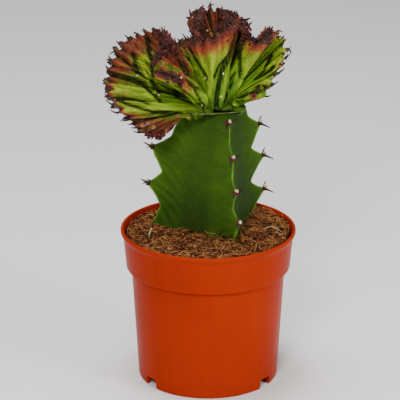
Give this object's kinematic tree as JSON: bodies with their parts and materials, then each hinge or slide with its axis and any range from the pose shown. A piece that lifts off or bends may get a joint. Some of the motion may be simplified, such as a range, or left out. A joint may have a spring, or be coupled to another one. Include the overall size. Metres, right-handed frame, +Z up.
{
  "type": "potted coral cactus",
  "caption": "Crested, fan-shaped succulent with a knobby ruffled margin, grafted on a ribbed rootstock and standing in a filled nursery pot.",
  "frame": {"origin": "under the middle of the whole plant's box, on the surface that the pot stands on", "axes": "+Z up along the plant's height, +X to the viewer's right and +Y away from the viewer in the front view"},
  "size_m": [0.1332, 0.1198, 0.2623],
  "materials": {
    "pot_plastic": "terracotta-orange polypropylene, semi-gloss",
    "coir": "loose brown coir fibre, matt",
    "stem_skin": "dark green waxy plant skin, satin",
    "crest_skin": "yellow-green waxy plant skin with a dark red margin, satin"
  },
  "bodies": {
    "root": {"pot": "pot_plastic", "soil": "coir", "rootstock": "stem_skin", "crest": "crest_skin"}
  },
  "joints": []
}
